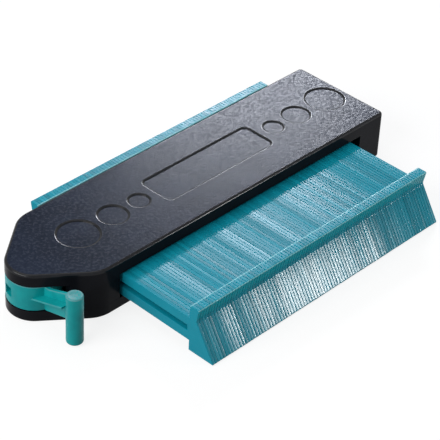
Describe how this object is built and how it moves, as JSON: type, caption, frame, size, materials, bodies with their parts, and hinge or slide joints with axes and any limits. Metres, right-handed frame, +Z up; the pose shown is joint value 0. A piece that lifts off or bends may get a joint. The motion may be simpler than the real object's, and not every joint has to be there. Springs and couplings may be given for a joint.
{
  "type": "contour gauge",
  "caption": "Contour gauge: a row of sliding plastic laminae with scribing tips, held in a flat tapered housing and clamped by a cam lever in its nose.",
  "frame": {"origin": "underside of the housing, below the middle of the lamina stack", "axes": "+X along the stack, away from the lever; -Y to the front, the way the laminae reach out at rest; +Z up"},
  "size_m": [0.1698, 0.0992, 0.0204],
  "materials": {
    "housing": "fine moulded grain, satin",
    "lamina": "smooth moulded, satin gloss",
    "lever": "smooth moulded, satin gloss",
    "clamp": "plain moulded",
    "steel": "drawn bright steel",
    "screws": "zinc plated"
  },
  "bodies": {
    "housing": {"upper_shell": "housing", "lower_shell": "housing", "lever_pin": "steel", "front_guide_rod": "steel", "back_guide_rod": "steel", "housing_screws": "screws"},
    "lever": {"lever": "lever"},
    "clamp_plate": {"clamp_plate": "clamp"},
    "lamina_pair_01": {"lamina_pair_01": "lamina"},
    "lamina_pair_02": {"lamina_pair_02": "lamina"},
    "lamina_pair_03": {"lamina_pair_03": "lamina"},
    "lamina_pair_04": {"lamina_pair_04": "lamina"},
    "lamina_pair_05": {"lamina_pair_05": "lamina"},
    "lamina_pair_06": {"lamina_pair_06": "lamina"},
    "lamina_pair_07": {"lamina_pair_07": "lamina"},
    "lamina_pair_08": {"lamina_pair_08": "lamina"},
    "lamina_pair_09": {"lamina_pair_09": "lamina"},
    "lamina_pair_10": {"lamina_pair_10": "lamina"},
    "lamina_pair_11": {"lamina_pair_11": "lamina"},
    "lamina_pair_12": {"lamina_pair_12": "lamina"},
    "lamina_pair_13": {"lamina_pair_13": "lamina"},
    "lamina_pair_14": {"lamina_pair_14": "lamina"},
    "lamina_pair_15": {"lamina_pair_15": "lamina"},
    "lamina_pair_16": {"lamina_pair_16": "lamina"},
    "lamina_pair_17": {"lamina_pair_17": "lamina"},
    "lamina_pair_18": {"lamina_pair_18": "lamina"},
    "lamina_pair_19": {"lamina_pair_19": "lamina"},
    "lamina_pair_20": {"lamina_pair_20": "lamina"},
    "lamina_pair_21": {"lamina_pair_21": "lamina"},
    "lamina_pair_22": {"lamina_pair_22": "lamina"},
    "lamina_pair_23": {"lamina_pair_23": "lamina"},
    "lamina_pair_24": {"lamina_pair_24": "lamina"},
    "lamina_pair_25": {"lamina_pair_25": "lamina"},
    "lamina_pair_26": {"lamina_pair_26": "lamina"},
    "lamina_pair_27": {"lamina_pair_27": "lamina"},
    "lamina_pair_28": {"lamina_pair_28": "lamina"},
    "lamina_pair_29": {"lamina_pair_29": "lamina"},
    "lamina_pair_30": {"lamina_pair_30": "lamina"},
    "lamina_pair_31": {"lamina_pair_31": "lamina"},
    "lamina_pair_32": {"lamina_pair_32": "lamina"},
    "lamina_pair_33": {"lamina_pair_33": "lamina"},
    "lamina_pair_34": {"lamina_pair_34": "lamina"},
    "lamina_pair_35": {"lamina_pair_35": "lamina"},
    "lamina_pair_36": {"lamina_pair_36": "lamina"},
    "lamina_pair_37": {"lamina_pair_37": "lamina"},
    "lamina_pair_38": {"lamina_pair_38": "lamina"},
    "lamina_pair_39": {"lamina_pair_39": "lamina"},
    "lamina_pair_40": {"lamina_pair_40": "lamina"},
    "lamina_pair_41": {"lamina_pair_41": "lamina"},
    "lamina_pair_42": {"lamina_pair_42": "lamina"},
    "lamina_pair_43": {"lamina_pair_43": "lamina"},
    "lamina_pair_44": {"lamina_pair_44": "lamina"}
  },
  "joints": [
    {"name": "lever_swing", "type": "hinge", "parent": "housing", "child": "lever", "pos_m": [-0.08104, 0, 0.0097], "axis": [0, 0, 1], "range_deg": [-95, 0]},
    {"name": "clamp_slide", "type": "slide", "parent": "housing", "child": "clamp_plate", "axis": [1, 0, 0], "range_m": [-0.0012, 0]},
    {"name": "lamina_pair_01_slide", "type": "slide", "parent": "housing", "child": "lamina_pair_01", "axis": [0, 1, 0], "range_m": [0, 0.032]},
    {"name": "lamina_pair_02_slide", "type": "slide", "parent": "housing", "child": "lamina_pair_02", "axis": [0, 1, 0], "range_m": [0, 0.032]},
    {"name": "lamina_pair_03_slide", "type": "slide", "parent": "housing", "child": "lamina_pair_03", "axis": [0, 1, 0], "range_m": [0, 0.032]},
    {"name": "lamina_pair_04_slide", "type": "slide", "parent": "housing", "child": "lamina_pair_04", "axis": [0, 1, 0], "range_m": [0, 0.032]},
    {"name": "lamina_pair_05_slide", "type": "slide", "parent": "housing", "child": "lamina_pair_05", "axis": [0, 1, 0], "range_m": [0, 0.032]},
    {"name": "lamina_pair_06_slide", "type": "slide", "parent": "housing", "child": "lamina_pair_06", "axis": [0, 1, 0], "range_m": [0, 0.032]},
    {"name": "lamina_pair_07_slide", "type": "slide", "parent": "housing", "child": "lamina_pair_07", "axis": [0, 1, 0], "range_m": [0, 0.032]},
    {"name": "lamina_pair_08_slide", "type": "slide", "parent": "housing", "child": "lamina_pair_08", "axis": [0, 1, 0], "range_m": [0, 0.032]},
    {"name": "lamina_pair_09_slide", "type": "slide", "parent": "housing", "child": "lamina_pair_09", "axis": [0, 1, 0], "range_m": [0, 0.032]},
    {"name": "lamina_pair_10_slide", "type": "slide", "parent": "housing", "child": "lamina_pair_10", "axis": [0, 1, 0], "range_m": [0, 0.032]},
    {"name": "lamina_pair_11_slide", "type": "slide", "parent": "housing", "child": "lamina_pair_11", "axis": [0, 1, 0], "range_m": [0, 0.032]},
    {"name": "lamina_pair_12_slide", "type": "slide", "parent": "housing", "child": "lamina_pair_12", "axis": [0, 1, 0], "range_m": [0, 0.032]},
    {"name": "lamina_pair_13_slide", "type": "slide", "parent": "housing", "child": "lamina_pair_13", "axis": [0, 1, 0], "range_m": [0, 0.032]},
    {"name": "lamina_pair_14_slide", "type": "slide", "parent": "housing", "child": "lamina_pair_14", "axis": [0, 1, 0], "range_m": [0, 0.032]},
    {"name": "lamina_pair_15_slide", "type": "slide", "parent": "housing", "child": "lamina_pair_15", "axis": [0, 1, 0], "range_m": [0, 0.032]},
    {"name": "lamina_pair_16_slide", "type": "slide", "parent": "housing", "child": "lamina_pair_16", "axis": [0, 1, 0], "range_m": [0, 0.032]},
    {"name": "lamina_pair_17_slide", "type": "slide", "parent": "housing", "child": "lamina_pair_17", "axis": [0, 1, 0], "range_m": [0, 0.032]},
    {"name": "lamina_pair_18_slide", "type": "slide", "parent": "housing", "child": "lamina_pair_18", "axis": [0, 1, 0], "range_m": [0, 0.032]},
    {"name": "lamina_pair_19_slide", "type": "slide", "parent": "housing", "child": "lamina_pair_19", "axis": [0, 1, 0], "range_m": [0, 0.032]},
    {"name": "lamina_pair_20_slide", "type": "slide", "parent": "housing", "child": "lamina_pair_20", "axis": [0, 1, 0], "range_m": [0, 0.032]},
    {"name": "lamina_pair_21_slide", "type": "slide", "parent": "housing", "child": "lamina_pair_21", "axis": [0, 1, 0], "range_m": [0, 0.032]},
    {"name": "lamina_pair_22_slide", "type": "slide", "parent": "housing", "child": "lamina_pair_22", "axis": [0, 1, 0], "range_m": [0, 0.032]},
    {"name": "lamina_pair_23_slide", "type": "slide", "parent": "housing", "child": "lamina_pair_23", "axis": [0, 1, 0], "range_m": [0, 0.032]},
    {"name": "lamina_pair_24_slide", "type": "slide", "parent": "housing", "child": "lamina_pair_24", "axis": [0, 1, 0], "range_m": [0, 0.032]},
    {"name": "lamina_pair_25_slide", "type": "slide", "parent": "housing", "child": "lamina_pair_25", "axis": [0, 1, 0], "range_m": [0, 0.032]},
    {"name": "lamina_pair_26_slide", "type": "slide", "parent": "housing", "child": "lamina_pair_26", "axis": [0, 1, 0], "range_m": [0, 0.032]},
    {"name": "lamina_pair_27_slide", "type": "slide", "parent": "housing", "child": "lamina_pair_27", "axis": [0, 1, 0], "range_m": [0, 0.032]},
    {"name": "lamina_pair_28_slide", "type": "slide", "parent": "housing", "child": "lamina_pair_28", "axis": [0, 1, 0], "range_m": [0, 0.032]},
    {"name": "lamina_pair_29_slide", "type": "slide", "parent": "housing", "child": "lamina_pair_29", "axis": [0, 1, 0], "range_m": [0, 0.032]},
    {"name": "lamina_pair_30_slide", "type": "slide", "parent": "housing", "child": "lamina_pair_30", "axis": [0, 1, 0], "range_m": [0, 0.032]},
    {"name": "lamina_pair_31_slide", "type": "slide", "parent": "housing", "child": "lamina_pair_31", "axis": [0, 1, 0], "range_m": [0, 0.032]},
    {"name": "lamina_pair_32_slide", "type": "slide", "parent": "housing", "child": "lamina_pair_32", "axis": [0, 1, 0], "range_m": [0, 0.032]},
    {"name": "lamina_pair_33_slide", "type": "slide", "parent": "housing", "child": "lamina_pair_33", "axis": [0, 1, 0], "range_m": [0, 0.032]},
    {"name": "lamina_pair_34_slide", "type": "slide", "parent": "housing", "child": "lamina_pair_34", "axis": [0, 1, 0], "range_m": [0, 0.032]},
    {"name": "lamina_pair_35_slide", "type": "slide", "parent": "housing", "child": "lamina_pair_35", "axis": [0, 1, 0], "range_m": [0, 0.032]},
    {"name": "lamina_pair_36_slide", "type": "slide", "parent": "housing", "child": "lamina_pair_36", "axis": [0, 1, 0], "range_m": [0, 0.032]},
    {"name": "lamina_pair_37_slide", "type": "slide", "parent": "housing", "child": "lamina_pair_37", "axis": [0, 1, 0], "range_m": [0, 0.032]},
    {"name": "lamina_pair_38_slide", "type": "slide", "parent": "housing", "child": "lamina_pair_38", "axis": [0, 1, 0], "range_m": [0, 0.032]},
    {"name": "lamina_pair_39_slide", "type": "slide", "parent": "housing", "child": "lamina_pair_39", "axis": [0, 1, 0], "range_m": [0, 0.032]},
    {"name": "lamina_pair_40_slide", "type": "slide", "parent": "housing", "child": "lamina_pair_40", "axis": [0, 1, 0], "range_m": [0, 0.032]},
    {"name": "lamina_pair_41_slide", "type": "slide", "parent": "housing", "child": "lamina_pair_41", "axis": [0, 1, 0], "range_m": [0, 0.032]},
    {"name": "lamina_pair_42_slide", "type": "slide", "parent": "housing", "child": "lamina_pair_42", "axis": [0, 1, 0], "range_m": [0, 0.032]},
    {"name": "lamina_pair_43_slide", "type": "slide", "parent": "housing", "child": "lamina_pair_43", "axis": [0, 1, 0], "range_m": [0, 0.032]},
    {"name": "lamina_pair_44_slide", "type": "slide", "parent": "housing", "child": "lamina_pair_44", "axis": [0, 1, 0], "range_m": [0, 0.032]}
  ],
  "couplings": [
    {"joint": "clamp_slide", "follows": "lever_swing", "m_per_rad": 0.00072}
  ]
}
